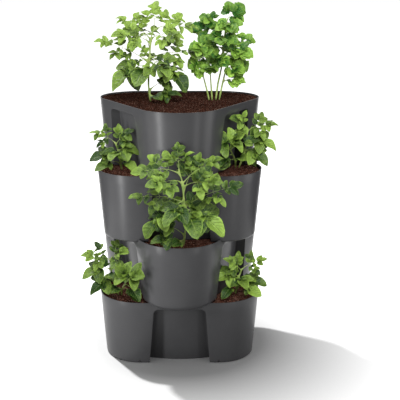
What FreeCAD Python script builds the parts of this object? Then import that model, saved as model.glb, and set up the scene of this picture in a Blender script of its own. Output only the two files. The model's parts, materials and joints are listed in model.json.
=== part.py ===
"""Vertical planter tower: four stacked three-lobed pots, filled with soil and planted.

Each pot is one thin moulding with three rounded lobes and, on each side between two lobes,
an arched niche that is open at the front and below. Every second pot is turned by half a
turn, so that each lobe hangs over a niche of the pot below, and what grows in a lower lobe
comes up through the niche above it. A groove under the floor drops over the rim below and
keeps the stack from turning; it shows as small notches in the lower edge of the wall.

Millimetres, +Z up. The side seen first is -Y. The origin is on the tower's axis, in the
plane of the lowest pot's underside.
"""
import FreeCAD, Part
import math
import os
from collections import namedtuple

# Pot moulding
POT_COUNT = 4
POT_HEIGHT = 238.0
LOBE_REACH = 163.5
BASE_RADIUS = 129.3
RIM_RADIUS = 147.8
WALL = 2.6
FLOOR = 3.0
APEX_ROUNDING = 24.0
WING_ROUNDING = 6.0
ROUNDING_STEPS = 2
LOBE_FACETS = 18
INSIDE_FACETS = 9

# Niche between two lobes
NICHE_BASE_HALF_WIDTH = 108.0
NICHE_TOP_HALF_WIDTH = 91.0
NICHE_LINTEL = 26.0
NICHE_CORNER = 18.0
NICHE_CORNER_FACETS = 3
INSIDE_CORNER_SHARE = 0.6
NICHE_BACK_RADIUS = 380.0
NICHE_BASE_DEPTH = 34.0
NICHE_BACK_RISE = 30.0

# Stacking groove and drainage
GROOVE_DEPTH = 10.0
GROOVE_CLEARANCE = 1.0
DRAIN_SLOT_LENGTH = 16.0
DRAIN_SLOT_WIDTH = 5.0
DRAIN_RING_RADIUS = 45.0
DRAINS_PER_LOBE = 2

# Soil
SOIL_GAP = 0.3
SOIL_TO_FLOOR_ABOVE = 0.5
TOP_SOIL_DROP = 4.0

# Plants
STEM_RADIUS = 4.2
STEM_TIP_RADIUS = 2.0
STEM_SIDES = 5
STALK_RADIUS = 1.5
STALK_TIP_RADIUS = 0.9
STALK_SIDES = 3
STALK_STEPS = 2
BLADE_THICKNESS = 1.0
BLADE_FREE_SPACE = 0.25
PAIR_SPACING = 0.3
FACING = (0.0, -0.75, 0.6)
REACHING = (0.0, -1.0, 0.24)
STEM_CLEARANCE = 7.0
BLADE_CLEARANCE = 4.0
PUSH_STEP = 3.0

LOBE_ANGLES = (-90.0, 30.0, 150.0)
SIDE_ANGLES = (-30.0, 90.0, 210.0)
UP = FreeCAD.Vector(0, 0, 1)
ORIGIN = FreeCAD.Vector(0, 0, 0)


def on_ring(angle, distance, z=0.0):
    """Point at a plan angle in degrees and a distance from the tower's axis."""
    turn = math.radians(angle)
    return FreeCAD.Vector(distance * math.cos(turn), distance * math.sin(turn), z)


# Outline of a pot
def wall_radius(z):
    """Outer radius of a lobe at height z."""
    return BASE_RADIUS + (RIM_RADIUS - BASE_RADIUS) * z / POT_HEIGHT


def flat_face(*corners):
    return Part.Face(Part.makePolygon(list(corners) + [corners[0]]))


def closed_rings(rings):
    """Solid through rings of corners, with two flat triangles between each pair of corners."""
    faces = [flat_face(*rings[0]), flat_face(*rings[-1])]
    for lower, upper in zip(rings, rings[1:]):
        for k in range(len(lower)):
            n = (k + 1) % len(lower)
            faces.append(flat_face(lower[k], lower[n], upper[n]))
            faces.append(flat_face(lower[k], upper[n], upper[k]))
    solid = Part.Solid(Part.Shell(faces))
    if solid.Volume < 0:
        solid.reverse()
    return solid


def lobed_ring(z, radii, facets):
    """Corners of a pot's outline at height z, with the round of each lobe in narrow flats."""
    ring = []
    for angle, radius in zip(LOBE_ANGLES, radii):
        for i in range(facets + 1):
            place = on_ring(angle - 60 + 120.0 * i / facets, radius)
            ring.append(on_ring(angle, LOBE_REACH, z) + place)
    return ring


def lobed_solid(levels, facets):
    """Body with three round lobes and flat sides. A level is a height and three lobe radii."""
    rings = [lobed_ring(z, radii, facets) for z, radii in levels]
    return closed_rings(rings).removeSplitter()


def tuck(rounding, rise):
    """How far a rounded lower edge stands in from the wall, at a rise above its foot."""
    if rise >= rounding:
        return 0.0
    return rounding - math.sqrt(rounding ** 2 - (rounding - rise) ** 2)


def pot_levels(inset, low, high, wing, steps):
    """Levels of a pot's body, set in from its outside, with its lower edge rounded."""
    apex = APEX_ROUNDING - inset
    levels = []
    for i in range(steps + 1):
        rise = apex * (1 - math.cos(math.pi / 2 * i / steps))
        radius = wall_radius(low + rise) - inset
        sides = (radius - tuck(wing, rise),) * 2
        levels.append((low + rise, (radius - tuck(apex, rise),) + sides))
    levels.append((high, (wall_radius(high) - inset,) * 3))
    return levels


# Niches
def niche_space(grow, corner_facets):
    """Space of the niche on the side that faces -Y, larger by grow on every face.

    A corner with one flat is smaller, to keep a wall between it and the rounder one.
    """
    height = POT_HEIGHT - NICHE_LINTEL
    beyond = LOBE_REACH + RIM_RADIUS
    low = -GROOVE_DEPTH
    top = height + grow
    corner = (NICHE_CORNER + grow) * (INSIDE_CORNER_SHARE if corner_facets == 1 else 1.0)
    shoulder = top - corner

    def half_width(z):
        narrowing = (NICHE_BASE_HALF_WIDTH - NICHE_TOP_HALF_WIDTH) * z / height
        return NICHE_BASE_HALF_WIDTH - narrowing + grow

    right = [FreeCAD.Vector(half_width(low), -beyond, low)]
    for i in range(corner_facets + 1):
        turn = math.pi / 2 * i / corner_facets
        x = half_width(shoulder) - corner * (1 - math.cos(turn))
        right.append(FreeCAD.Vector(x, -beyond, shoulder + corner * math.sin(turn)))
    left = [FreeCAD.Vector(-p.x, p.y, p.z) for p in reversed(right)]
    arch = flat_face(*right, *left).extrude(FreeCAD.Vector(0, beyond, 0))
    foot = LOBE_REACH / 2 + BASE_RADIUS - NICHE_BASE_DEPTH
    along = FreeCAD.Vector(0, -NICHE_BACK_RISE, POT_HEIGHT).normalize()
    centre = FreeCAD.Vector(0, NICHE_BACK_RADIUS - foot, 0) - along * (4 * GROOVE_DEPTH)
    length = POT_HEIGHT + 8 * GROOVE_DEPTH
    back = Part.makeCylinder(NICHE_BACK_RADIUS - grow, length, centre, along)
    return arch.cut(back)


def all_niches(grow, corner_facets):
    """The same niche on the pot's three sides."""
    one = niche_space(grow, corner_facets)
    spaces = []
    for angle in SIDE_ANGLES:
        space = one.copy()
        space.rotate(ORIGIN, UP, angle + 90)
        spaces.append(space)
    return spaces


# Stacking groove
def groove_ring(grow, low, high):
    """Ring that the rim of the pot below fits in, seen from the pot that stands on it."""
    outer = RIM_RADIUS + GROOVE_CLEARANCE + grow
    inner = RIM_RADIUS - WALL - GROOVE_CLEARANCE - grow
    bodies = []
    for radius in (outer, inner):
        bodies.append(lobed_solid([(low, (radius,) * 3), (high, (radius,) * 3)], LOBE_FACETS))
    ring = bodies[0].cut(bodies[1])
    ring.rotate(ORIGIN, UP, 180)
    return ring


def drain_slots():
    """Slots through the floor, in a ring about the middle of each lobe."""
    slots = []
    for angle in LOBE_ANGLES:
        middle = on_ring(angle, (LOBE_REACH / 2 + BASE_RADIUS) / 2)
        for i in range(DRAINS_PER_LOBE):
            turn = angle + 360.0 * i / DRAINS_PER_LOBE
            slot = Part.makeBox(DRAIN_SLOT_LENGTH, DRAIN_SLOT_WIDTH, 4 * FLOOR)
            slot.translate(FreeCAD.Vector(DRAIN_RING_RADIUS, -DRAIN_SLOT_WIDTH / 2, -FLOOR))
            slot.rotate(ORIGIN, UP, turn)
            slot.translate(middle)
            slots.append(slot)
    return slots


# Pot and soil
def inside_space(inset, low, high):
    """Space inside a pot. The soil hides nearly all of it, so its lobes have fewer flats."""
    levels = pot_levels(inset, low, high, 0.0, 1)
    ribs = groove_ring(inset, 0.0, GROOVE_DEPTH + low)
    return lobed_solid(levels, INSIDE_FACETS).cut(all_niches(inset, 1) + [ribs])


def pot_moulding():
    levels = pot_levels(0.0, 0.0, POT_HEIGHT, WING_ROUNDING, ROUNDING_STEPS)
    outside = lobed_solid(levels, LOBE_FACETS)
    inside = inside_space(WALL, FLOOR, POT_HEIGHT + FLOOR)
    cuts = [inside, groove_ring(0.0, -FLOOR, GROOVE_DEPTH)]
    cuts += all_niches(0.0, NICHE_CORNER_FACETS) + drain_slots()
    return outside.cut(cuts)


def soil_fill(level):
    """Soil that fills the inside of a pot up to a level above the pot's underside."""
    return inside_space(WALL + SOIL_GAP, FLOOR + SOIL_GAP, level)


def single_solid(shape):
    """The one solid of a shape that a cut may have wrapped in a compound."""
    if len(shape.Solids) != 1:
        raise ValueError("expected one solid, found %d" % len(shape.Solids))
    return shape.Solids[0]


PITCH = POT_HEIGHT - GROOVE_DEPTH
LOWER_SOIL_LEVEL = PITCH - SOIL_TO_FLOOR_ABOVE
TOP_SOIL_LEVEL = POT_HEIGHT - TOP_SOIL_DROP


def soil_level(tier):
    """Height of the soil in a tier above the underside of its pot; the lowest tier is 0."""
    return TOP_SOIL_LEVEL if tier == POT_COUNT - 1 else LOWER_SOIL_LEVEL


def stacked(shape, tier):
    """A copy of a pot's shape at its place in the stack, every second one turned round."""
    placed = shape.copy()
    if tier % 2 == 0:
        placed.rotate(ORIGIN, UP, 180)
    placed.translate(UP * (tier * PITCH))
    return placed


# Plants
# A spray is one compound leaf: it leaves the stem at a height, its stalk ends at a point
# (sideways, back, up) from the foot of the stem, and it carries pairs of blades and one at
# its end. Its bow is how far the stalk arches above a straight line.
Spray = namedtuple("Spray", "height end bow pairs blade")
Habit = namedtuple("Habit", "stems sprays slender")

TALL_POTATO = Habit(
    stems=[[(0, 0, 0), (-7, 0, 56), (-5, 0, 125), (0, 0, 183), (5, 0, 235), (17, 0, 276)]],
    sprays=[
        Spray(143, (-128, 0, 206), 25, 3, 46),
        Spray(132, (-74, -25, 112), 32, 2, 66),
        Spray(122, (-20, -46, 118), 12, 0, 66),
        Spray(152, (28, -50, 146), 14, 1, 54),
        Spray(160, (106, 5, 180), 22, 2, 50),
        Spray(166, (96, -46, 100), 34, 2, 48),
        Spray(228, (-66, 25, 280), 18, 2, 44),
        Spray(216, (-60, -38, 242), 14, 1, 48),
        Spray(272, (18, 18, 306), 6, 1, 42),
        Spray(262, (94, -5, 276), 20, 2, 50),
        Spray(232, (58, -44, 246), 14, 1, 48),
        Spray(190, (-24, 76, 246), 16, 1, 46),
        Spray(114, (34, 80, 144), 20, 1, 46),
        Spray(42, (56, -12, 80), 12, 1, 34),
        Spray(14, (68, -30, 34), 18, 1, 36),
        Spray(8, (16, -34, 26), 12, 0, 38),
    ],
    slender=0.66,
)

BUSHY_HERB = Habit(
    stems=[
        [(7, 0, 0), (14, 0, 70), (27, 0, 118), (35, 0, 208), (45, 0, 306)],
        [(-18, 4, 0), (-26, 4, 38), (-38, 6, 80), (-45, 8, 108)],
        [(-7, -9, 0), (-12, -10, 60), (-16, -12, 116)],
        [(20, 5, 0), (31, 6, 62), (40, 6, 100), (44, 6, 126)],
    ],
    sprays=[
        Spray(302, (62, 4, 322), 6, 1, 42),
        Spray(276, (-16, 6, 304), 8, 1, 30),
        Spray(288, (50, -38, 288), 8, 1, 42),
        Spray(226, (-32, 18, 262), 12, 1, 44),
        Spray(198, (-38, -34, 208), 14, 2, 42),
        Spray(168, (-48, 14, 156), 22, 2, 42),
        Spray(218, (110, 0, 228), 12, 1, 30),
        Spray(198, (88, -26, 200), 22, 2, 42),
        Spray(174, (92, 22, 152), 28, 2, 42),
        Spray(238, (28, -50, 240), 14, 1, 44),
        Spray(248, (44, 56, 272), 10, 1, 44),
        Spray(208, (-2, 58, 214), 14, 1, 44),
        Spray(144, (12, -54, 168), 12, 1, 42),
        Spray(104, (-62, -16, 122), 10, 1, 34),
        Spray(112, (-14, -42, 130), 8, 1, 34),
        Spray(120, (72, -24, 126), 12, 1, 36),
        Spray(70, (74, -14, 82), 14, 1, 30),
    ],
    slender=0.92,
)

SIDE_POTATO = Habit(
    stems=[
        [(2, 0, 0), (14, 2, 38), (24, 4, 92), (20, 6, 146)],
        [(-8, -4, 0), (-14, -18, 36), (-32, -50, 70), (-50, -84, 98)],
    ],
    sprays=[
        Spray(142, (4, -12, 160), 6, 1, 50),
        Spray(132, (56, 0, 150), 12, 1, 44),
        Spray(96, (72, -10, 102), 22, 2, 46),
        Spray(60, (54, -26, 60), 22, 1, 46),
        Spray(30, (42, 14, 42), 12, 1, 38),
        Spray(80, (12, -46, 104), 12, 0, 46),
        Spray(96, (-66, -104, 112), 5, 1, 46),
        Spray(84, (-28, -98, 120), 10, 1, 42),
        Spray(58, (-52, -84, 58), 10, 0, 44),
        Spray(34, (-44, -50, 36), 14, 0, 42),
        Spray(26, (-2, -58, 52), 14, 0, 40),
    ],
    slender=0.64,
)

SMALL_POTATO = Habit(
    stems=[[(0, 0, 0), (-1, -2, 46), (-4, -5, 80), (-10, -8, 104)]],
    sprays=[
        Spray(100, (-38, -8, 120), 8, 1, 38),
        Spray(94, (14, -16, 116), 6, 1, 38),
        Spray(70, (40, -24, 82), 20, 2, 42),
        Spray(50, (-54, -14, 58), 20, 1, 40),
        Spray(25, (-40, -30, 32), 18, 0, 42),
        Spray(32, (26, -40, 38), 16, 0, 40),
        Spray(58, (-10, -44, 70), 14, 1, 40),
    ],
    slender=0.62,
)

BLADE_OUTLINE = ((0.0, 0.0), (0.42, 0.5), (1.0, 0.0), (0.42, -0.5))
ROLLS = (0.0, 24.0, -24.0, 48.0, -48.0, 72.0, -72.0)
SHORTER = (1.0, 0.86, 0.72, 0.58)
FOOT_OFFSETS = (0.9, 1.2, 1.5, 1.8, 2.2)


def bow_point(start, middle, end, share):
    """Point on the curve that leaves start towards middle and comes to end."""
    rest = 1 - share
    return start * (rest * rest) + middle * (2 * rest * share) + end * (share * share)


def rod(points, first_radius, last_radius, sides):
    """Slim many-sided solid along a line of points, thinner towards its end."""
    whole = points[-1] - points[0]
    steep = abs(whole.z) > 0.7 * whole.Length
    aside = FreeCAD.Vector(1, 0, 0) if steep else UP
    rings = []
    for i, point in enumerate(points):
        along = points[min(i + 1, len(points) - 1)] - points[max(i - 1, 0)]
        if i == 0 and steep:
            along = UP
        u = along.cross(aside).normalize()
        v = FreeCAD.Vector(along).normalize().cross(u)
        radius = first_radius + (last_radius - first_radius) * i / (len(points) - 1)
        ring = []
        for k in range(sides):
            turn = 2 * math.pi * (k + 0.5) / sides
            ring.append(point + u * (radius * math.cos(turn)) + v * (radius * math.sin(turn)))
        rings.append(ring)
    return closed_rings(rings)


def blade(foot, along, face, length, slender):
    """Flat leaf blade with its foot at a point, its tip along a direction."""
    across = face.cross(along)
    corners = []
    for forward, sideways in BLADE_OUTLINE:
        place = along * (forward * length) + across * (sideways * slender * length)
        corners.append(foot + place - face * (BLADE_THICKNESS / 2))
    return flat_face(*corners).extrude(face * BLADE_THICKNESS)


def clear_of(shape, others, distance):
    """Whether a solid keeps a distance from each of a list of solids."""
    box = FreeCAD.BoundBox(shape.BoundBox)
    box.enlarge(distance)
    for other in others:
        if box.intersect(other.BoundBox) and shape.distToShape(other)[0] < distance:
            return False
    return True


def plan_distance(point, angles):
    """Plan distance from the triangle between the middles of a pot's lobes, 0 inside it."""
    centres = [on_ring(angle, LOBE_REACH) for angle in angles]
    flat = FreeCAD.Vector(point.x, point.y, 0)
    inside = True
    nearest = []
    for first, second in zip(centres, centres[1:] + centres[:1]):
        side = second - first
        share = min(max((flat - first).dot(side) / side.dot(side), 0.0), 1.0)
        nearest.append((flat - first - side * share).Length)
        inside = inside and side.cross(flat - first).z > 0
    return 0.0 if inside else min(nearest)


def in_niche(point, z, angles, clearance):
    """Whether a point at height z of a pot is in the free space of one of its niches."""
    height = POT_HEIGHT - NICHE_LINTEL
    half_width = NICHE_BASE_HALF_WIDTH
    half_width -= (NICHE_BASE_HALF_WIDTH - NICHE_TOP_HALF_WIDTH) * z / height
    for angle in angles:
        out = on_ring(angle, 1.0)
        aside = point.dot(on_ring(angle + 90, 1.0))
        sag = NICHE_BACK_RADIUS - math.sqrt(NICHE_BACK_RADIUS ** 2 - min(aside ** 2, half_width ** 2))
        back = LOBE_REACH / 2 + BASE_RADIUS - NICHE_BASE_DEPTH + NICHE_BACK_RISE * z / POT_HEIGHT
        if point.dot(out) > back - sag + clearance and abs(aside) < half_width - clearance:
            return z < height - NICHE_CORNER
    return False


def is_free(point, tier, clearance):
    """Whether a point on a plant of a tier keeps clear of its own pot and those above it."""
    for other in range(tier, POT_COUNT):
        z = point.z - other * PITCH
        if z < -clearance or z > POT_HEIGHT + clearance:
            continue
        turn = 180 if other % 2 == 0 else 0
        away = plan_distance(point, [angle + turn for angle in LOBE_ANGLES]) - wall_radius(z)
        if away > clearance:
            continue
        if other == tier:
            if away > -WALL - clearance or z < soil_level(tier):
                return False
        elif not in_niche(point, z, [angle + turn for angle in SIDE_ANGLES], clearance):
            return False
    return True


def square_to(along, towards):
    """Unit vector at right angles to a direction, as near as can be to another one."""
    rest = towards - along * towards.dot(along)
    if rest.Length < 0.15:
        rest = UP - along * UP.dot(along)
    return rest.normalize()


def fitted_blade(knot, along, towards, length, slender, others, tier):
    """A blade turned about its midrib, and if need be shorter, until it touches nothing."""
    face = square_to(along, towards)
    for shorter in SHORTER:
        for roll in ROLLS:
            turned = FreeCAD.Rotation(along, roll).multVec(face)
            leaf = blade(knot, along, turned, length * shorter, slender)
            marks = [v.Point for v in leaf.Vertexes] + [e.CenterOfMass for e in leaf.Edges]
            if not all(is_free(mark, tier, BLADE_CLEARANCE) for mark in marks):
                continue
            for offset in FOOT_OFFSETS:
                moved = leaf.translated(along * offset)
                if clear_of(moved, others, BLADE_FREE_SPACE):
                    return moved
    return None


def stem_point(line, height):
    """Point of a stem's centre line at a height above the soil."""
    for lower, upper in zip(line, line[1:]):
        if height <= upper.z:
            share = (height - lower.z) / (upper.z - lower.z)
            return lower + (upper - lower) * share
    return line[-1]


def line_point(points, share):
    """Point and direction at a share of the way along a line of evenly spaced points."""
    place = share * (len(points) - 1)
    i = min(int(place), len(points) - 2)
    step = points[i + 1] - points[i]
    return points[i] + step * (place - i), FreeCAD.Vector(step).normalize()


def blade_places(spray, stalk):
    """Knot, direction, facing and length of each blade on a spray's stalk."""
    outward = FreeCAD.Vector(stalk[-1].x - stalk[0].x, stalk[-1].y - stalk[0].y, 0)
    if outward.Length > 0:
        outward.normalize()
    towards = (FreeCAD.Vector(*FACING) + outward * 0.35).normalize()
    end, heading = line_point(stalk, 1.0)
    places = [(end - heading * 0.6, heading, towards, spray.blade * 1.15)]
    for pair in range(spray.pairs):
        knot, ahead = line_point(stalk, 1.0 - PAIR_SPACING * (pair + 0.8))
        across = ahead.cross(square_to(ahead, towards)).normalize()
        for hand in (1, -1):
            aim = (across * hand + ahead * 0.6).normalize()
            places.append((knot, aim, towards, spray.blade * (1.0 - 0.12 * pair)))
    return places


def grow_plant(planting, foot):
    """Stems and blades of one plant, as its habit says, from its foot on the soil."""
    habit = planting.habit
    lean = FreeCAD.Vector(planting.lean[0], 0, 0) + FreeCAD.Vector(*REACHING) * planting.lean[1]

    def place(point):
        across, back, rise = [planting.size * v for v in point]
        spot = foot + FreeCAD.Vector(planting.side * across, back, rise) + lean * rise
        while rise > 0 and not is_free(spot, planting.tier, STEM_CLEARANCE):
            spot = spot + FreeCAD.Vector(*REACHING) * PUSH_STEP
        return spot

    stems = [[place(p) for p in line] for line in habit.stems]
    rods = [rod(line, STEM_RADIUS, STEM_TIP_RADIUS, STEM_SIDES) for line in stems]
    places = []
    for spray in habit.sprays:
        end = place(spray.end)
        height = foot.z + spray.height * planting.size * (1 + lean.z)
        near = [line for line in stems if line[-1].z >= height - 1]
        start = min((stem_point(line, height) for line in near), key=end.distanceToPoint)
        middle = (start + end) * 0.5 + UP * spray.bow
        shares = [i / STALK_STEPS for i in range(STALK_STEPS + 1)]
        stalk = [bow_point(start, middle, end, share) for share in shares]
        rods.append(rod(stalk, STALK_RADIUS, STALK_TIP_RADIUS, STALK_SIDES))
        places += blade_places(spray, stalk)
    blades = []
    for knot, along, towards, length in places:
        around = blades + rods
        leaf = fitted_blade(knot, along, towards, length, habit.slender, around, planting.tier)
        if leaf:
            blades.append(leaf)
    print(planting.name, len(blades), "blades of", len(places))
    return rods[0].fuse(rods[1:]), blades


# Where the plants stand: tier, plan angle, distance from the axis, habit, size, side, lean
Planting = namedtuple("Planting", "name tier angle distance habit size side lean")

PLANTINGS = [
    Planting("top_left", 3, 197.0, 108.0, TALL_POTATO, 0.95, 1, (0.0, 0.0)),
    Planting("top_right", 3, -3.4, 122.0, BUSHY_HERB, 0.93, 1, (0.0, 0.0)),
    Planting("upper_left", 2, 203.7, 222.0, SMALL_POTATO, 1.0, 1, (-0.12, 0.12)),
    Planting("upper_right", 2, -16.0, 216.0, SIDE_POTATO, 1.0, 1, (0.06, 0.16)),
    Planting("middle", 1, -87.0, 252.0, TALL_POTATO, 0.97, -1, (0.0, 0.30)),
    Planting("lower_left", 0, 210.2, 253.0, SIDE_POTATO, 1.0, -1, (-0.04, 0.10)),
    Planting("lower_right", 0, -29.6, 233.0, SMALL_POTATO, 1.0, -1, (0.12, 0.12)),
]


# Files
os.makedirs("parts", exist_ok=True)


def export(shape, name):
    shape.exportStep("parts/%s.step" % name)


pot = single_solid(pot_moulding())
for tier in range(POT_COUNT):
    export(stacked(pot, tier), "pot_%d" % (tier + 1))
    export(stacked(single_solid(soil_fill(soil_level(tier))), tier), "soil_%d" % (tier + 1))

for planting in PLANTINGS:
    ground = planting.tier * PITCH + soil_level(planting.tier)
    wood, blades = grow_plant(planting, on_ring(planting.angle, planting.distance, ground))
    export(wood, "stems_%s" % planting.name)
    export(Part.makeCompound(blades), "leaves_%s" % planting.name)
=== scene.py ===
"""Looks of a vertical planter tower: four stacked three-lobed pots with soil and plants.

Everything is in metres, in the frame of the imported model, with +Z up and -Y towards the
camera. The pots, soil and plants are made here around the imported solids, and each piece
rides on the tier that carries it.
"""

import json
import math
import random

import bmesh
import bpy
from mathutils import Matrix, Vector, noise

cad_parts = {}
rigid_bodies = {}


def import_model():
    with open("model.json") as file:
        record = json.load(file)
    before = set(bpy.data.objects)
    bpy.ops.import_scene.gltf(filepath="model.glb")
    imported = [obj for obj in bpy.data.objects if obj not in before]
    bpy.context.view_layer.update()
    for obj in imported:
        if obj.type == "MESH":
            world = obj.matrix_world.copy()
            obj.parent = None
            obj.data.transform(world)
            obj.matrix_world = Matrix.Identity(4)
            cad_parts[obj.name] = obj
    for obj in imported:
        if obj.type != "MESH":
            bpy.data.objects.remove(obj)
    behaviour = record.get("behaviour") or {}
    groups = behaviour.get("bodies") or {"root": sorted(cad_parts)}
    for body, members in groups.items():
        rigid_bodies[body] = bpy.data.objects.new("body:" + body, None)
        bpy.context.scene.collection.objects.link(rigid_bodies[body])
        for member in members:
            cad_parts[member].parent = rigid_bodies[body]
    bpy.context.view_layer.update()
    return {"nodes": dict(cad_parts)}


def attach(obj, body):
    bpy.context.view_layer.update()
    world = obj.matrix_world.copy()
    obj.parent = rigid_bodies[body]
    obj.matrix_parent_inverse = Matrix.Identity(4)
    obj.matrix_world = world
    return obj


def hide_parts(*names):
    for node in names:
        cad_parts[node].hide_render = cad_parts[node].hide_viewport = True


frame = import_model()


# Camera
# It stands about 3 m away at chest height and looks down on the tower; the shift puts the
# tower left of the middle of the picture, as in the photograph.
PICTURE_WIDTH = 400.0
FOCAL_PIXELS = 831.0
AXIS_PIXEL = 179.65
CAMERA_DISTANCE = 2.95
CAMERA_HEIGHT = 1.344
CAMERA_DOWN = 15.05

camera_data = bpy.data.cameras.new("camera")
camera_data.sensor_width = 36.0
camera_data.lens = FOCAL_PIXELS / PICTURE_WIDTH * camera_data.sensor_width
camera_data.shift_x = 0.5 - AXIS_PIXEL / PICTURE_WIDTH
camera_data.clip_end = 50.0
camera = bpy.data.objects.new("camera", camera_data)
camera.location = (0.0, -CAMERA_DISTANCE, CAMERA_HEIGHT)
camera.rotation_euler = (math.radians(90 - CAMERA_DOWN), 0.0, 0.0)
bpy.context.scene.collection.objects.link(camera)
bpy.context.scene.camera = camera


# Pots
# Thin polypropylene mouldings in anthracite, with a finely grained satin skin, smooth
# round lobes, three arched niches, and a groove below that sits on the rim underneath.
# All four are the same shell, and the first and third are turned by half a turn.
TIERS = 4
LOBE_ANGLES = (-90.0, 30.0, 150.0)
NICHE_ANGLES = (-30.0, 90.0, 210.0)
LOBE_REACH = 0.1635
BASE_RADIUS = 0.1293
RIM_RADIUS = 0.1478
POT_HEIGHT = 0.238
POT_PITCH = 0.228
WALL = 0.0026
FLOOR = 0.003
APEX_ROUNDING = 0.024
WING_ROUNDING = 0.006
EDGE_ROUNDING = 0.0009
NICHE_HALF_WIDTH = 0.108
NICHE_TOP = 0.212
NICHE_TAPER = 0.017 / NICHE_TOP
NICHE_CORNER = 0.018
NICHE_DEPTH = 0.034
NICHE_BACK_RISE = 0.030 / POT_HEIGHT
NICHE_BACK_RADIUS = 0.380
PAST_LOBES = 0.34
GROOVE_DEPTH = 0.010
GROOVE_CLEARANCE = 0.001
DRAIN_RING_RADIUS = 0.045
DRAIN_SLOT_LENGTH = 0.016
DRAIN_SLOT_WIDTH = 0.005


def polar(angle, distance):
    turn = math.radians(angle)
    return Vector((distance * math.cos(turn), distance * math.sin(turn), 0.0))


def wall_radius(z):
    return BASE_RADIUS + (RIM_RADIUS - BASE_RADIUS) * z / POT_HEIGHT


def plan_distance(x, y, turn):
    """Distance in plan from the triangle between the middles of a turned pot's lobes."""
    centres = [polar(angle + turn, LOBE_REACH) for angle in LOBE_ANGLES]
    point = Vector((x, y, 0.0))
    inside = True
    nearest = []
    for i in range(3):
        first = centres[i]
        side = centres[(i + 1) % 3] - first
        share = min(max((point - first).dot(side) / side.length_squared, 0.0), 1.0)
        nearest.append((point - first - side * share).length)
        inside = inside and side.cross(point - first).z > 0
    return 0.0 if inside else min(nearest)


def lobed_ring(z, radii, arc_steps=24, side_steps=6):
    """Points round a three-lobed outline at height z."""
    ring = []
    for i, angle in enumerate(LOBE_ANGLES):
        middle = polar(angle, LOBE_REACH)
        for k in range(arc_steps + 1):
            ring.append(middle + polar(angle - 60 + 120 * k / arc_steps, radii[i]))
        following = LOBE_ANGLES[(i + 1) % 3]
        start = ring[-1]
        end = polar(following, LOBE_REACH) + polar(following - 60, radii[(i + 1) % 3])
        ring += [start.lerp(end, k / side_steps) for k in range(1, side_steps)]
    return [Vector((p.x, p.y, z)) for p in ring]


def tuck(rounding, rise):
    """How far a rounded lower edge stands in from the wall."""
    if rise >= rounding:
        return 0.0
    return rounding - math.sqrt(rounding ** 2 - (rounding - rise) ** 2)


def lobed_rows(inset, low, high):
    """Rings of a pot's body, closer together where its lower edge is rounded."""
    apex = APEX_ROUNDING - inset
    wing = WING_ROUNDING - inset
    rises = {0.0}
    for rounding, steps in ((apex, 7), (wing, 4)):
        for k in range(1, steps + 1):
            rises.add(rounding * (1 - math.cos(math.pi / 2 * k / steps)))
    rises = sorted(rises)
    middle = [rises[-1] + (high - low - rises[-1]) * k / 6 for k in range(1, 7)]
    rows = []
    for rise in rises + middle:
        radius = wall_radius(low + rise) - inset
        sides = radius - tuck(wing, rise)
        rows.append(lobed_ring(low + rise, (radius - tuck(apex, rise), sides, sides)))
    return rows


def smooth(mesh):
    mesh.polygons.foreach_set("use_smooth", [True] * len(mesh.polygons))


def mesh_object(name, vertices, faces, material):
    mesh = bpy.data.meshes.new(name)
    mesh.from_pydata(vertices, [], faces)
    mesh.validate()
    mesh.materials.append(material)
    smooth(mesh)
    made = bpy.data.objects.new(name, mesh)
    bpy.context.scene.collection.objects.link(made)
    return made


def apply_modifiers(made):
    """Works an object's modifiers into its mesh."""
    bpy.context.view_layer.update()
    graph = bpy.context.evaluated_depsgraph_get()
    mesh = bpy.data.meshes.new_from_object(made.evaluated_get(graph))
    made.modifiers.clear()
    made.data = mesh


def band(first, second, count):
    """Faces between two closed rings of points, whose numbers start at first and second."""
    faces = []
    for k in range(count):
        n = (k + 1) % count
        faces.append([first + k, first + n, second + n, second + k])
    return faces


def closed_mesh(name, rows, material=None):
    """A closed mesh through rings of points, with flat ends."""
    count = len(rows[0])
    vertices = [p for row in rows for p in row]
    faces = [list(reversed(range(count)))]
    for r in range(len(rows) - 1):
        faces += band(r * count, (r + 1) * count, count)
    faces.append([(len(rows) - 1) * count + k for k in range(count)])
    return mesh_object(name, vertices, faces, material)


def niche_back(x, z, grow=0.0):
    """How far out the bowed, leaning back of a niche stands, x from its middle."""
    radius = NICHE_BACK_RADIUS - grow
    bow = math.sqrt(radius ** 2 - x * x) * math.hypot(1.0, NICHE_BACK_RISE)
    return LOBE_REACH / 2 + BASE_RADIUS - NICHE_DEPTH - NICHE_BACK_RADIUS + bow + NICHE_BACK_RISE * z


def niche_tool(grow):
    """What is cut out of a pot for the niche on its -Y side, larger by grow all round."""
    top = NICHE_TOP + grow
    corner = NICHE_CORNER + grow
    levels = []
    for z in (-0.01, 0.06, 0.13, top - corner):
        levels.append((NICHE_HALF_WIDTH - NICHE_TAPER * z + grow, z))
    shoulder = levels[-1][0]
    for k in range(1, 9):
        turn = math.pi / 2 * k / 8
        levels.append((shoulder - corner * (1 - math.cos(turn)), top - corner * (1 - math.sin(turn))))
    rows = []
    for half_width, z in levels:
        row = [Vector((x, -PAST_LOBES, z)) for x in (-half_width, half_width)]
        for k in range(25):
            x = half_width * (1 - k / 12)
            row.append(Vector((x, -niche_back(x, z, grow), z)))
        rows.append(row)
    return closed_mesh("niche", rows)


def cut(made, tools):
    """Cuts tools out of an object and removes the tools."""
    for tool in tools:
        modifier = made.modifiers.new("cut", "BOOLEAN")
        modifier.object = tool
        modifier.solver = "EXACT"
        apply_modifiers(made)
        bpy.data.objects.remove(tool)
    return made


def turned(made, angle):
    made.data.transform(Matrix.Rotation(math.radians(angle), 4, "Z"))
    return made


def niches(grow):
    return [turned(niche_tool(grow), angle + 90) for angle in NICHE_ANGLES]


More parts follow.
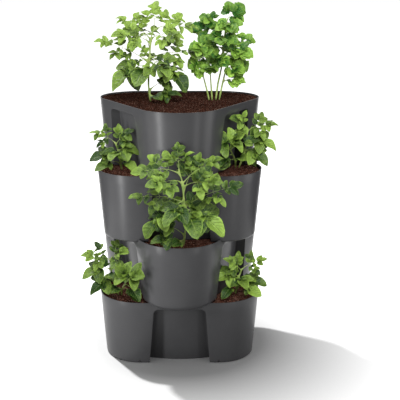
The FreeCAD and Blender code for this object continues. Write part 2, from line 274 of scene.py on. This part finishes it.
def groove(grow, low, high):
    """The ring that the rim of the pot below fits in, larger by grow."""
    outer = RIM_RADIUS + GROOVE_CLEARANCE + grow
    inner = RIM_RADIUS - WALL - GROOVE_CLEARANCE - grow
    ring = closed_mesh("groove", [lobed_ring(z, (outer,) * 3) for z in (low, high)])
    core = closed_mesh("core", [lobed_ring(z, (inner,) * 3) for z in (low - 0.01, high + 0.01)])
    return turned(cut(ring, [core]), 180)


class Value:
    """A socket in a material's nodes; arithmetic on it adds Math nodes."""

    def __init__(self, graph, socket):
        self.graph = graph
        self.socket = socket

    def math(self, operation, *others):
        sockets = dict(enumerate((self, *others)))
        return self.graph.add("ShaderNodeMath", {"operation": operation}, sockets)

    def __add__(self, other):
        return self.math("ADD", other)

    __radd__ = __add__

    def __sub__(self, other):
        return self.math("SUBTRACT", other)

    def __rsub__(self, other):
        return self.math("MULTIPLY_ADD", -1.0, other)

    def __mul__(self, other):
        return self.math("MULTIPLY", other)

    __rmul__ = __mul__

    def above(self, edge, softness):
        """0 below an edge and 1 above it, with a soft step."""
        return self.graph.add(
            "ShaderNodeMapRange",
            {"interpolation_type": "SMOOTHSTEP"},
            {"Value": self, "From Min": edge - softness, "From Max": edge + softness},
        )


class Graph:
    """The nodes of a material or of the world, and the shader that they feed."""

    def __init__(self, owner, shader="Principled BSDF"):
        owner.use_nodes = True
        self.owner = owner
        self.tree = owner.node_tree
        self.shader = self.tree.nodes[shader]

    def feed(self, socket, value):
        if isinstance(value, Value):
            self.tree.links.new(value.socket, socket)
        elif socket.type == "RGBA":
            socket.default_value = (*value, 1.0)
        else:
            socket.default_value = value

    def add(self, kind, settings=None, values=None, output=0):
        """One node: its settings first, then its sockets, and the output that is wanted."""
        node = self.tree.nodes.new(kind)
        for name, setting in (settings or {}).items():
            setattr(node, name, setting)
        for name, value in (values or {}).items():
            self.feed(node.inputs[name], value)
        return Value(self, node.outputs[output])

    def mix(self, factor, first, second):
        """A colour between two colours."""
        colors = {"Factor": factor, 6: first, 7: second}
        return self.add("ShaderNodeMix", {"data_type": "RGBA"}, colors, output=2)

    def noise(self, where, scale, detail=4.0, roughness=0.6):
        values = {"Vector": where, "Scale": scale, "Detail": detail, "Roughness": roughness}
        return self.add("ShaderNodeTexNoise", None, values)

    def place(self):
        return self.add("ShaderNodeTexCoord", output="Object")

    def bump(self, height, strength, distance):
        values = {"Height": height, "Strength": strength, "Distance": distance}
        return self.add("ShaderNodeBump", None, values)

    def surface(self, **values):
        """Feeds the shader, by socket names with underscores for spaces."""
        for name, value in values.items():
            self.feed(self.shader.inputs[name.replace("_", " ")], value)
        return self.owner


def drain_slots():
    """Slots through the floor, two about the middle of each lobe."""
    slots = []
    for angle in LOBE_ANGLES:
        middle = polar(angle, (LOBE_REACH / 2 + BASE_RADIUS) / 2)
        for turn in (angle, angle + 180):
            rows = []
            for z in (-FLOOR, 3 * FLOOR):
                corners = ((0.0, -0.5), (1.0, -0.5), (1.0, 0.5), (0.0, 0.5))
                rows.append([
                    Vector((DRAIN_RING_RADIUS + DRAIN_SLOT_LENGTH * x, DRAIN_SLOT_WIDTH * y, z))
                    for x, y in corners
                ])
            slot = turned(closed_mesh("slot", rows), turn)
            slot.data.transform(Matrix.Translation(middle))
            slots.append(slot)
    return slots


def plastic():
    """Anthracite polypropylene: satin, with fine grain and very faint flow and dust."""
    g = Graph(bpy.data.materials.new("anthracite_plastic"))
    where = g.place()
    cloud = g.noise(where, 7.0, 3.0)
    grain = g.noise(where, 900.0, 2.0)
    color = g.mix(cloud.above(0.5, 0.25), (0.049, 0.049, 0.051), (0.056, 0.056, 0.058))
    rough = 0.26 + cloud * 0.06 + grain * 0.05
    return g.surface(
        Base_Color=color,
        Roughness=rough,
        Specular_IOR_Level=0.2,
        Normal=g.bump(grain, 0.12, 0.0003),
    )


PLASTIC = plastic()


def pot_shell():
    shell = closed_mesh("pot", lobed_rows(0.0, 0.0, POT_HEIGHT), PLASTIC)
    space = closed_mesh("space", lobed_rows(WALL, FLOOR, POT_HEIGHT + 0.004))
    cut(space, niches(WALL) + [groove(WALL, 0.0, GROOVE_DEPTH + FLOOR)])
    cut(shell, [space, groove(0.0, -0.005, GROOVE_DEPTH)] + niches(0.0) + drain_slots())
    edge = shell.modifiers.new("edge", "BEVEL")
    edge.width = EDGE_ROUNDING
    edge.segments = 2
    edge.limit_method = "ANGLE"
    edge.angle_limit = math.radians(40)
    apply_modifiers(shell)
    smooth(shell.data)
    shell.data.set_sharp_from_angle(angle=math.radians(32))
    return shell


def tier_turn(tier):
    """The first and third pot stand turned by half a turn."""
    return 180 if tier % 2 == 0 else 0


def set_on_tier(made, tier):
    """Turns and lifts what was made in a pot on the floor to its place in the stack."""
    turned(made, tier_turn(tier))
    made.data.transform(Matrix.Translation((0, 0, tier * POT_PITCH)))


first_pot = pot_shell()
for tier in range(TIERS):
    pot = first_pot.copy()
    pot.data = first_pot.data.copy()
    pot.name = "pot_shell_%d" % (tier + 1)
    bpy.context.scene.collection.objects.link(pot)
    set_on_tier(pot, tier)
    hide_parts("pot_%d" % (tier + 1))
    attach(pot, "tier_%d" % (tier + 1))
bpy.data.objects.remove(first_pot)


# Soil
# Loose dark potting soil, reddish brown and granular, filled in to just under each rim. Its
# top is a bumpy surface with crumbs lying on it, lower where the next pot stands over it.
def soil_material():
    g = Graph(bpy.data.materials.new("potting_soil"))
    where = g.place()
    lumps = g.noise(where, 95.0, 6.0, 0.75)
    grains = g.noise(where, 380.0, 3.0, 0.7)
    shade = lumps * 0.6 + grains * 0.4
    dark = g.mix(shade.above(0.5, 0.1), (0.010, 0.0042, 0.003), (0.080, 0.030, 0.019))
    color = g.mix(grains.above(0.62, 0.04), dark, (0.30, 0.20, 0.16))
    return g.surface(
        Base_Color=color,
        Roughness=0.95,
        Specular_IOR_Level=0.0,
        Normal=g.bump(lumps + grains * 0.5, 0.9, 0.004),
    )


SOIL = soil_material()
SOIL_GAP = 0.0003
SOIL_SINK = 0.0024
SOIL_RELIEF = 0.0022
SOIL_MIDDLE = 0.002
SOIL_UNDER_POT = 0.0008
SKIRT_DEPTH = 0.008
SKIRT_SHARE = 0.985
TOP_SOIL_DROP = 0.004
LOWER_SOIL_DROP = 0.0005
NEXT_POT_MARGIN = 0.004
TOP_CRUMBS = 5200
LOWER_CRUMBS = 2600
CRUMB_FIELD = 0.31
CRUMB_SINK = 0.0012
CRUMB_TO_WALL = 0.004
CRUMB_CORNERS = ((0, 0, 1), (1, 0, 0), (0, 1, 0), (-1, 0, 0), (0, -1, 0), (0, 0, -1))
CRUMB_SIDES = (
    (0, 1, 2), (0, 2, 3), (0, 3, 4), (0, 4, 1),
    (5, 2, 1), (5, 3, 2), (5, 4, 3), (5, 1, 4),
)


def crumb(draw, place, size):
    """Corners of one crumb of soil, an eight-sided lump that is turned and squashed."""
    angle = draw.uniform(0, 6.3)
    axis = Vector((draw.uniform(-1, 1), draw.uniform(-1, 1), 1))
    spin = Matrix.Rotation(angle, 3, axis)
    squash = Vector((draw.uniform(0.7, 1.3), draw.uniform(0.7, 1.3), draw.uniform(0.5, 0.9)))
    return [place + spin @ (Vector(corner) * squash) * size for corner in CRUMB_CORNERS]


def crumbs(level, covered, wanted, seed):
    """Crumbs strewn over the soil inside the pot's wall, where nothing covers it."""
    draw = random.Random(seed)
    limit = wall_radius(level) - WALL - CRUMB_TO_WALL
    made = []
    while len(made) < wanted:
        x = draw.uniform(-CRUMB_FIELD, CRUMB_FIELD)
        y = draw.uniform(-CRUMB_FIELD, CRUMB_FIELD)
        size = draw.uniform(0.0012, 0.0038)
        if plan_distance(x, y, 0) <= limit and not covered(x, y):
            made.append(crumb(draw, Vector((x, y, level - CRUMB_SINK)), size))
    return made


def soil_surface(name, level, covered, wanted, seed):
    """Bumpy top of the soil in an upright pot, with a skirt that goes down at the wall."""
    rings = 58
    radius = wall_radius(level) - WALL - SOIL_GAP
    outline = lobed_ring(level, (radius,) * 3, arc_steps=40, side_steps=26)
    count = len(outline)
    vertices = []
    for r in range(rings):
        share = 1.0 - r / rings
        for p in outline:
            x, y = p.x * share, p.y * share
            bump = noise.fractal(Vector((x, y, seed)) * 90.0, 0.7, 2.2, 4)
            rise = SOIL_RELIEF * bump - SOIL_SINK
            if covered(x, y):
                rise = min(rise, -SOIL_UNDER_POT)
            vertices.append(Vector((x, y, level + rise)))
    faces = []
    for r in range(rings - 1):
        faces += band(r * count, (r + 1) * count, count)
    innermost = (rings - 1) * count
    middle = len(vertices)
    vertices.append(Vector((0.0, 0.0, level - SOIL_MIDDLE)))
    for k in range(count):
        faces.append([innermost + k, innermost + (k + 1) % count, middle])
    skirt = len(vertices)
    for p in outline:
        vertices.append(Vector((p.x * SKIRT_SHARE, p.y * SKIRT_SHARE, level - SKIRT_DEPTH)))
    faces += band(skirt, 0, count)
    faces.append([skirt + k for k in range(count)])
    for corners in crumbs(level, covered, wanted, seed):
        start = len(vertices)
        vertices += corners
        faces += [[start + i for i in side] for side in CRUMB_SIDES]
    return mesh_object(name, vertices, faces, SOIL)


def under_next_pot(x, y):
    """Whether a place in an upright pot lies under the wall or floor of the pot above."""
    return plan_distance(x, y, 180) < BASE_RADIUS + NEXT_POT_MARGIN


def under_nothing(x, y):
    return False


for tier in range(TIERS):
    name = "soil_surface_%d" % (tier + 1)
    if tier == TIERS - 1:
        level = POT_HEIGHT - TOP_SOIL_DROP
        soil = soil_surface(name, level, under_nothing, TOP_CRUMBS, tier + 1)
    else:
        level = POT_PITCH - LOWER_SOIL_DROP
        soil = soil_surface(name, level, under_next_pot, LOWER_CRUMBS, tier + 1)
    set_on_tier(soil, tier)
    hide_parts("soil_%d" % (tier + 1))
    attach(soil, "tier_%d" % (tier + 1))


# Stems
# Green stems with their leaf stalks, each plant's in one piece, streaked pale and dark. They
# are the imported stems, rounded off, and grow out of the soil of their tier.
def stem_material():
    g = Graph(bpy.data.materials.new("green_stem"))
    where = g.place()
    streak = g.noise(where, 60.0, 3.0)
    color = g.mix(streak.above(0.5, 0.2), (0.20, 0.31, 0.06), (0.38, 0.47, 0.14))
    return g.surface(Base_Color=color, Roughness=0.5, Normal=g.bump(streak, 0.3, 0.0006))


STEM = stem_material()
WELD_DISTANCE = 0.00002
STEM_SWELL = 0.0002
PLANTS = {
    "top_left": "tier_4",
    "top_right": "tier_4",
    "upper_left": "tier_3",
    "upper_right": "tier_3",
    "middle": "tier_2",
    "lower_left": "tier_1",
    "lower_right": "tier_1",
}


def welded(node):
    """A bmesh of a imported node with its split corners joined."""
    joined = bmesh.new()
    joined.from_mesh(frame["nodes"][node].data)
    bmesh.ops.remove_doubles(joined, verts=joined.verts, dist=WELD_DISTANCE)
    return joined


for plant, tier in PLANTS.items():
    joined = welded("stems_" + plant)
    mesh = bpy.data.meshes.new("stem")
    joined.to_mesh(mesh)
    joined.free()
    mesh.materials.append(STEM)
    stem = bpy.data.objects.new("plant_stems_" + plant, mesh)
    bpy.context.scene.collection.objects.link(stem)
    swell = stem.modifiers.new("swell", "DISPLACE")
    swell.strength = STEM_SWELL
    swell.mid_level = 0.0
    round_off = stem.modifiers.new("round", "SUBSURF")
    round_off.levels = 1
    apply_modifiers(stem)
    smooth(stem.data)
    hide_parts("stems_" + plant)
    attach(stem, tier)


# Leaves
# Every flat blade in the solids becomes folded, drooping leaflets with a sunken midrib and
# side veins. A potato blade becomes an oval leaflet with smaller ones beside it, or a small
# frond of five; a blade of the herb at the top right becomes seven round, toothed ones.
def leaf_material(name, deep, light, vein):
    g = Graph(bpy.data.materials.new(name))
    along, aside, tint = [
        g.add("ShaderNodeAttribute", {"attribute_name": label}, output="Fac")
        for label in ("along", "aside", "tint")
    ]
    where = g.place()
    mottle = g.noise(where, 90.0, 4.0)
    quilt = g.noise(where, 230.0, 2.0)
    # The band along each leaflet's edge is a painted rim light: lighter where an edge would catch
    # light from behind.
    painted_rim_light = aside.above(0.86, 0.1)
    # Each leaflet is painted darker towards its foot, as painted shade where the leaf bases lie in
    # shade. The tint and mottle are the leaves' own tone.
    shade = tint + (mottle - 0.5) * 1.1 + (along - 0.6) * 0.45 + painted_rim_light * 0.35
    green = g.mix(shade, deep, light)
    rib = 1.0 - aside.above(0.06, 0.05)
    ray = (along * 6.0 - aside * 2.4 + 3.0).math("FRACT")
    side_rib = 1.0 - (ray - 0.5).math("ABSOLUTE").above(0.10, 0.08)
    veins = rib.math("MAXIMUM", side_rib * 0.6)
    color = g.mix(veins * 0.3, green, vein)
    height = quilt * 0.6 + mottle * 0.3 - veins * 0.8
    return g.surface(
        Base_Color=color,
        Roughness=0.28 + mottle * 0.25,
        Specular_IOR_Level=0.32,
        Normal=g.bump(height, 0.9, 0.004),
    )


POTATO_LEAF = leaf_material(
    "green_leaf",
    deep=(0.012, 0.046, 0.002),
    light=(0.300, 0.470, 0.070),
    vein=(0.42, 0.56, 0.18),
)
HERB_LEAF = leaf_material(
    "bright_leaf",
    deep=(0.012, 0.105, 0.006),
    light=(0.330, 0.570, 0.075),
    vein=(0.46, 0.62, 0.18),
)


LEAF_FACING = Vector((0.0, -0.75, 0.6))
LEAF_TO_POT = 0.002
LEAF_TO_NICHE_BACK = 0.003
NICHE_FREE_HEIGHT = 0.205
NEXT_FOOT_MIN = 0.004
NEXT_FOOT_MAX = 0.045
STALK_RADIUS = 0.0007
STALK_TURN = 2.094


def separate_plates(joined):
    """The corner points of each plate of a welded leaf node."""
    seen = set()
    plates = []
    for first in joined.verts:
        if first in seen:
            continue
        plate = []
        queue = [first]
        seen.add(first)
        while queue:
            vertex = queue.pop()
            plate.append(vertex.co.copy())
            for edge in vertex.link_edges:
                other = edge.other_vert(vertex)
                if other not in seen:
                    seen.add(other)
                    queue.append(other)
        plates.append(plate)
    return plates


def blade(plate):
    """Foot, tip and facing of a thin plate, from the marks halfway through its thickness."""
    marks = []
    while plate:
        here = plate.pop()
        plate.sort(key=lambda p: (p - here).length)
        marks.append((here + plate.pop(0)) / 2)
    pairs = [(a, b) for i, a in enumerate(marks) for b in marks[i + 1:]]
    ends = max(pairs, key=lambda pair: (pair[0] - pair[1]).length)
    sides = [m for m in marks if m not in ends]
    foot = min(ends, key=lambda p: (p - sides[0]).length + (p - sides[1]).length)
    tip = ends[1] if foot is ends[0] else ends[0]
    up = (tip - foot).cross(sides[1] - sides[0]).normalized()
    return foot, tip, up if up.dot(LEAF_FACING) >= 0 else -up


def blades(node):
    """Foot, tip and facing of each blade of a leaf node."""
    joined = welded(node)
    found = [blade(plate) for plate in separate_plates(joined)]
    joined.free()
    return found


def in_niche(x, y, z, turn):
    """Whether a point is in the free space of a niche of a pot, z from its underside."""
    half_width = NICHE_HALF_WIDTH - LEAF_TO_POT - NICHE_TAPER * z
    for angle in NICHE_ANGLES:
        out = polar(angle + turn, 1.0)
        aside = x * -out.y + y * out.x
        if abs(aside) < half_width and z < NICHE_FREE_HEIGHT:
            if x * out.x + y * out.y > niche_back(aside, z) + LEAF_TO_NICHE_BACK:
                return True
    return False


def blocked(point):
    """Whether a point is inside a pot or its soil."""
    for tier in range(TIERS):
        z = point.z - tier * POT_PITCH
        turn = tier_turn(tier)
        if not 0.0 <= z <= POT_HEIGHT:
            continue
        if plan_distance(point.x, point.y, turn) < wall_radius(z) + LEAF_TO_POT:
            if not in_niche(point.x, point.y, z, turn):
                return True
    return False


def oval(u):
    """Half width of an oval, pointed leaflet at a share of its length."""
    return math.sin(math.pi * u ** 0.85) ** 0.55 * (1.0 - 0.1 * u)


def toothed(u):
    """Half width of a short leaflet with rounded teeth."""
    body = math.sin(math.pi * min(u ** 0.9, 1.0)) ** 0.55
    return body * (0.74 + 0.26 * abs(math.sin(u * math.pi * 3.5)))


class Foliage:
    """Collects leaflets into one mesh."""

    def __init__(self, seed, outline, slender):
        self.draw = random.Random(seed)
        self.outline = outline
        self.slender = slender
        self.vertices = []
        self.faces = []
        self.along = []
        self.aside = []
        self.tint = []

    def leaflet(self, foot, tip, up, shade, rows=10, columns=6):
        """One folded, drooping leaflet; its shade runs from 0 for deep to 1 for light."""
        draw = self.draw
        forward = tip - foot
        length = forward.length
        half_width = length * self.slender / 2 * draw.uniform(0.9, 1.15)
        forward = forward.normalized()
        across = up.cross(forward).normalized()
        up = forward.cross(across)
        droop = length * draw.uniform(0.12, 0.38)
        fold = draw.uniform(0.15, 0.55)
        wave = length * draw.uniform(0.02, 0.05)
        phase = draw.uniform(0.0, 6.3)
        twist = draw.uniform(-0.5, 0.5)
        tint = min(max(shade + draw.uniform(-0.45, 0.45), -0.1), 1.2)
        start = len(self.vertices)
        for r in range(rows + 1):
            u = r / rows
            half = half_width * self.outline(min(max(u, 0.012), 0.995))
            turn = twist * u
            side = across * math.cos(turn) + up * math.sin(turn)
            for c in range(columns + 1):
                v = 2.0 * c / columns - 1.0
                rise = length * 0.06 * math.sin(math.pi * u) - droop * u * u
                rise += fold * half * (abs(v) - 0.35)
                rise += wave * math.sin(u * 10.0 + phase + v) * v * v
                self.vertices.append(foot + forward * (length * u) + side * (half * v) + up * rise)
                self.along.append(u)
                self.aside.append(abs(v))
                self.tint.append(tint)
        width = columns + 1
        for r in range(rows):
            for c in range(columns):
                a = start + r * width + c
                self.faces.append([a, a + 1, a + width + 1, a + width])

    def beside(self, foot, forward, up, length, turn, tilt, shade):
        """A further leaflet at a turn from another one, left out where a pot is in the way."""
        across = up.cross(forward).normalized()
        aim = forward * math.cos(turn) + across * math.sin(turn) + up * tilt
        facing = (up - forward * tilt + across * self.draw.uniform(-0.3, 0.3)).normalized()
        for share in (1.0, 0.7):
            tip = foot + aim.normalized() * (length * share)
            middle = foot.lerp(tip, 0.5)
            if not blocked(tip) and not blocked(middle):
                self.leaflet(foot, tip, facing, shade)
                return

    def stalk(self, foot, tip):
        """A thin three-sided leaf stalk."""
        along = (tip - foot).normalized()
        first = along.orthogonal().normalized() * STALK_RADIUS
        start = len(self.vertices)
        for end in (foot, tip):
            for k in range(3):
                self.vertices.append(end + Matrix.Rotation(k * STALK_TURN, 3, along) @ first)
                self.along.append(0.5)
                self.aside.append(0.0)
                self.tint.append(1.0)
        for k in range(3):
            n = (k + 1) % 3
            self.faces.append([start + k, start + n, start + n + 3, start + k + 3])

    def frond(self, foot, tip, up, shade):
        """A small compound leaf: two pairs of leaflets along a stalk and one at its end."""
        forward = (tip - foot).normalized()
        length = (tip - foot).length
        end = foot + forward * (length * 0.55)
        self.stalk(foot, end)
        self.beside(end, forward, up, length * 0.62, 0.0, 0.0, shade)
        for place, size in ((0.5, 0.52), (0.18, 0.44)):
            knot = foot + forward * (length * place)
            for hand in (1, -1):
                turn = hand * self.draw.uniform(0.8, 1.25)
                tilt = self.draw.uniform(-0.4, 0.4)
                small = length * size * self.draw.uniform(0.85, 1.15)
                self.beside(knot, forward, up, small, turn, tilt, shade)

    def made(self, name, material):
        foliage = mesh_object(name, self.vertices, self.faces, material)
        for label in ("along", "aside", "tint"):
            layer = foliage.data.attributes.new(label, "FLOAT", "POINT")
            layer.data.foreach_set("value", getattr(self, label))
        return foliage


def neighbour(found, foot):
    """The blade whose foot is next along the stalk, if one is near."""
    others = []
    for other in found:
        if NEXT_FOOT_MIN < (other[0] - foot).length < NEXT_FOOT_MAX:
            others.append(other)
    return min(others, key=lambda other: (other[0] - foot).length, default=None)


def with_heights(found):
    """The blades, each with the share of its plant's height at which its foot stands."""
    low = min(foot.z for foot, tip, up in found)
    high = max(foot.z for foot, tip, up in found)
    return [(foot, tip, up, (foot.z - low) / (high - low)) for foot, tip, up in found]


def potato_foliage(seed, found, foot_shade, top_shade, fine_from):
    """One leaflet or, higher up, one small frond for each blade, and smaller ones around."""
    foliage = Foliage(seed, oval, 0.74)
    draw = foliage.draw
    for foot, tip, up, share in with_heights(found):
        forward = (tip - foot).normalized()
        length = (tip - foot).length
        shade = foot_shade + (top_shade - foot_shade) * share + draw.uniform(-0.25, 0.25)
        up = up.lerp(Vector((0.0, 0.0, 1.0)), draw.uniform(0.0, 0.6)).normalized()
        if share > fine_from:
            foliage.frond(foot, foot + forward * length * 1.2, up, shade)
        else:
            foliage.leaflet(foot, foot + forward * length * 1.14, up, shade)
            for hand in (1, -1):
                turn = hand * draw.uniform(0.8, 1.5)
                small = length * draw.uniform(0.38, 0.62)
                foliage.beside(foot, forward, up, small, turn, draw.uniform(-0.4, 0.5), shade)
        following = neighbour(found, foot)
        if following and share <= fine_from:
            middle = foot.lerp(following[0], draw.uniform(0.35, 0.65))
            aim = (forward + (following[1] - following[0]).normalized()).normalized()
            small = length * draw.uniform(0.6, 0.85)
            foliage.beside(middle, aim, up, small, draw.uniform(-0.7, 0.7), -0.35, shade - 0.15)
            small = length * draw.uniform(0.4, 0.6)
            foliage.beside(middle, aim, up, small, draw.uniform(-1.6, 1.6), 0.4, shade + 0.15)
    return foliage


def herb_foliage(seed, found, foot_shade, top_shade):
    """Each blade becomes a leaf of round leaflets round one knot, above and below each other."""
    foliage = Foliage(seed, toothed, 1.0)
    draw = foliage.draw
    for foot, tip, up, share in with_heights(found):
        forward = (tip - foot).normalized()
        length = (tip - foot).length * 1.22
        shade = foot_shade + (top_shade - foot_shade) * share + draw.uniform(-0.25, 0.3)
        knot = foot + forward * (length * 0.25)
        foliage.leaflet(knot, foot + forward * length, up, shade)
        for turn in (1.5, 0.9, 0.3, -0.3, -0.9, -1.5):
            small = length * draw.uniform(0.45, 0.7)
            spread = turn + draw.uniform(-0.3, 0.3)
            foliage.beside(knot, forward, up, small, spread, draw.uniform(-0.6, 0.5), shade)
    return foliage


# How light a plant is at its foot and top and, for potato plants, the share of its height
# from which it has fronds.
HERB_LOOKS = (0.75, 0.1)
LARGE_PLANT_LOOKS = {"top_left": (0.1, 1.1, 0.4), "middle": (0.1, 0.55, 0.5)}
SMALL_PLANT_LOOKS = (0.2, 0.55, 0.8)
for seed, (plant, tier) in enumerate(PLANTS.items()):
    found = blades("leaves_" + plant)
    if plant == "top_right":
        foliage = herb_foliage(seed, found, *HERB_LOOKS)
        leaves = foliage.made("plant_leaves_" + plant, HERB_LEAF)
    else:
        looks = LARGE_PLANT_LOOKS.get(plant, SMALL_PLANT_LOOKS)
        foliage = potato_foliage(seed, found, *looks)
        leaves = foliage.made("plant_leaves_" + plant, POTATO_LEAF)
    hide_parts("leaves_" + plant)
    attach(leaves, tier)


# Studio
# A white floor that runs into a white background, with a painted glow on the floor that grows away
# from the tower and lightens the cast shadow there. Each lamp lights one group only: strips and a
# panel put the bands on the pots, two soft lamps and a sun light the plants and soil, and a small key
# from behind on the left throws the shadow forward and to the right.
STUDIO_REACH = 40.0
WHITE_FROM = 0.31
DIM_WORLD = 0.3
CARD_NEAR = (0.86, 0.85)
CARD_FAR = (1.75, -0.05)
CARD_HEIGHT = 2.2


def lamp(name, kind, direction):
    """A lamp that shines in a direction."""
    made = bpy.data.objects.new(name, bpy.data.lights.new(name, kind))
    made.rotation_euler = Vector(direction).to_track_quat("-Z", "Y").to_euler()
    bpy.context.scene.collection.objects.link(made)
    return made


def area_light(name, place, target, size, power):
    made = lamp(name, "AREA", Vector(target) - Vector(place))
    made.location = place
    made.data.shape = "RECTANGLE"
    made.data.size, made.data.size_y = size
    made.data.energy = power
    return made


def group(name, pieces):
    made = bpy.data.collections.new(name)
    for piece in pieces:
        made.objects.link(piece)
    return made


def lights_only(made, pieces):
    """Lets a lamp light only some pieces, so that a strip for one surface leaves the rest."""
    made.light_linking.receiver_collection = group(made.name, pieces)


POTS = [piece for piece in bpy.data.objects if piece.name.startswith("pot_shell")]
REST = [piece for piece in bpy.data.objects if piece.name.startswith(("plant_", "soil_surface"))]
strips = [
    area_light("strip_left", (-1.15, -1.0, 0.95), (0.0, -0.1, 0.8), (0.18, 1.9), 30.0),
    area_light("panel_right", (1.9, -0.4, 0.95), (0.0, 0.0, 0.6), (0.9, 1.7), 13.0),
    area_light("strip_right", (0.98, -1.13, 0.98), (0.0, -0.1, 0.8), (0.15, 1.9), 6.0),
]
for strip in strips:
    lights_only(strip, POTS)
lights_only(area_light("front_soft", (0.4, -2.4, 2.3), (0.0, 0.0, 0.6), (1.2, 1.2), 92.0), REST)
soil_front = area_light("soil_front", (0.1, -1.9, 2.3), (0.0, -0.2, 0.3), (0.8, 0.8), 48.0)
lights_only(soil_front, [bpy.data.objects["soil_surface_%d" % tier] for tier in (1, 2, 3)])
soil_front.light_linking.blocker_collection = group("soil_shadow", POTS)
key = area_light("key_behind_left", (-1.37, 1.28, 2.6), (0.1, -0.1, 0.0), (0.14, 0.14), 100.0)
sun = lamp("sun", "SUN", (0.62, -0.42, -1.0))
sun.data.energy = 1.8
sun.data.angle = math.radians(10)
lights_only(sun, REST)


def seen_directly(g):
    """1 for camera, glossy and transmission rays, which see the white background."""
    camera_ray, glossy_ray, transmission_ray = [
        g.add("ShaderNodeLightPath", output="Is %s Ray" % kind)
        for kind in ("Camera", "Glossy", "Transmission")
    ]
    return camera_ray.math("MAXIMUM", glossy_ray).math("MAXIMUM", transmission_ray)


def floor_material():
    """White, with a painted glow for camera and glossy rays that grows with distance from the tower.
    It lightens the cast shadow away from the base, and hides the floor's edge.
    """
    g = Graph(bpy.data.materials.new("studio_floor"))
    away = g.add("ShaderNodeVectorMath", {"operation": "LENGTH"}, {0: g.place()}, output="Value")
    # Painted glow: none near the tower, rising to full white further out, so the shadow fades with
    # distance.
    painted_glow = seen_directly(g) * ((away - WHITE_FROM) * 1.8).math("MINIMUM", 1.0)
    return g.surface(
        Base_Color=(0.9, 0.9, 0.9),
        Roughness=0.9,
        Specular_IOR_Level=0.0,
        Emission_Color=g.mix(painted_glow, (0.0, 0.0, 0.0), (1.0, 1.0, 1.0)),
        Emission_Strength=1.0,
    )


def card_material():
    """Matt black, for the cards beside the tower that keep white out of the pots' edges."""
    g = Graph(bpy.data.materials.new("black_card"))
    return g.surface(Base_Color=(0.0, 0.0, 0.0), Roughness=1.0, Specular_IOR_Level=0.0)


corners = [(STUDIO_REACH * x, STUDIO_REACH * y, 0.0) for x, y in ((-1, -1), (1, -1), (1, 1), (-1, 1))]
studio_floor = mesh_object("studio_floor", corners, [[0, 1, 2, 3]], floor_material())
for side in (-1, 1):
    near = (side * CARD_NEAR[0], CARD_NEAR[1])
    far = (side * CARD_FAR[0], CARD_FAR[1])
    corners = [(*near, 0.0), (*far, 0.0), (*far, CARD_HEIGHT), (*near, CARD_HEIGHT)]
    card = mesh_object("black_card", corners, [[0, 1, 2, 3]], card_material())
    card.visible_camera = False
    card.visible_diffuse = False
    card.visible_shadow = False
lights_only(key, [studio_floor])
key.light_linking.blocker_collection = group("solid_shadow", POTS)

around = Graph(bpy.data.worlds.new("studio"), "Background")
strength = seen_directly(around) * (1.0 - DIM_WORLD) + DIM_WORLD
bpy.context.scene.world = around.surface(Color=(1.0, 1.0, 1.0), Strength=strength)
bpy.context.scene.view_settings.view_transform = "Standard"
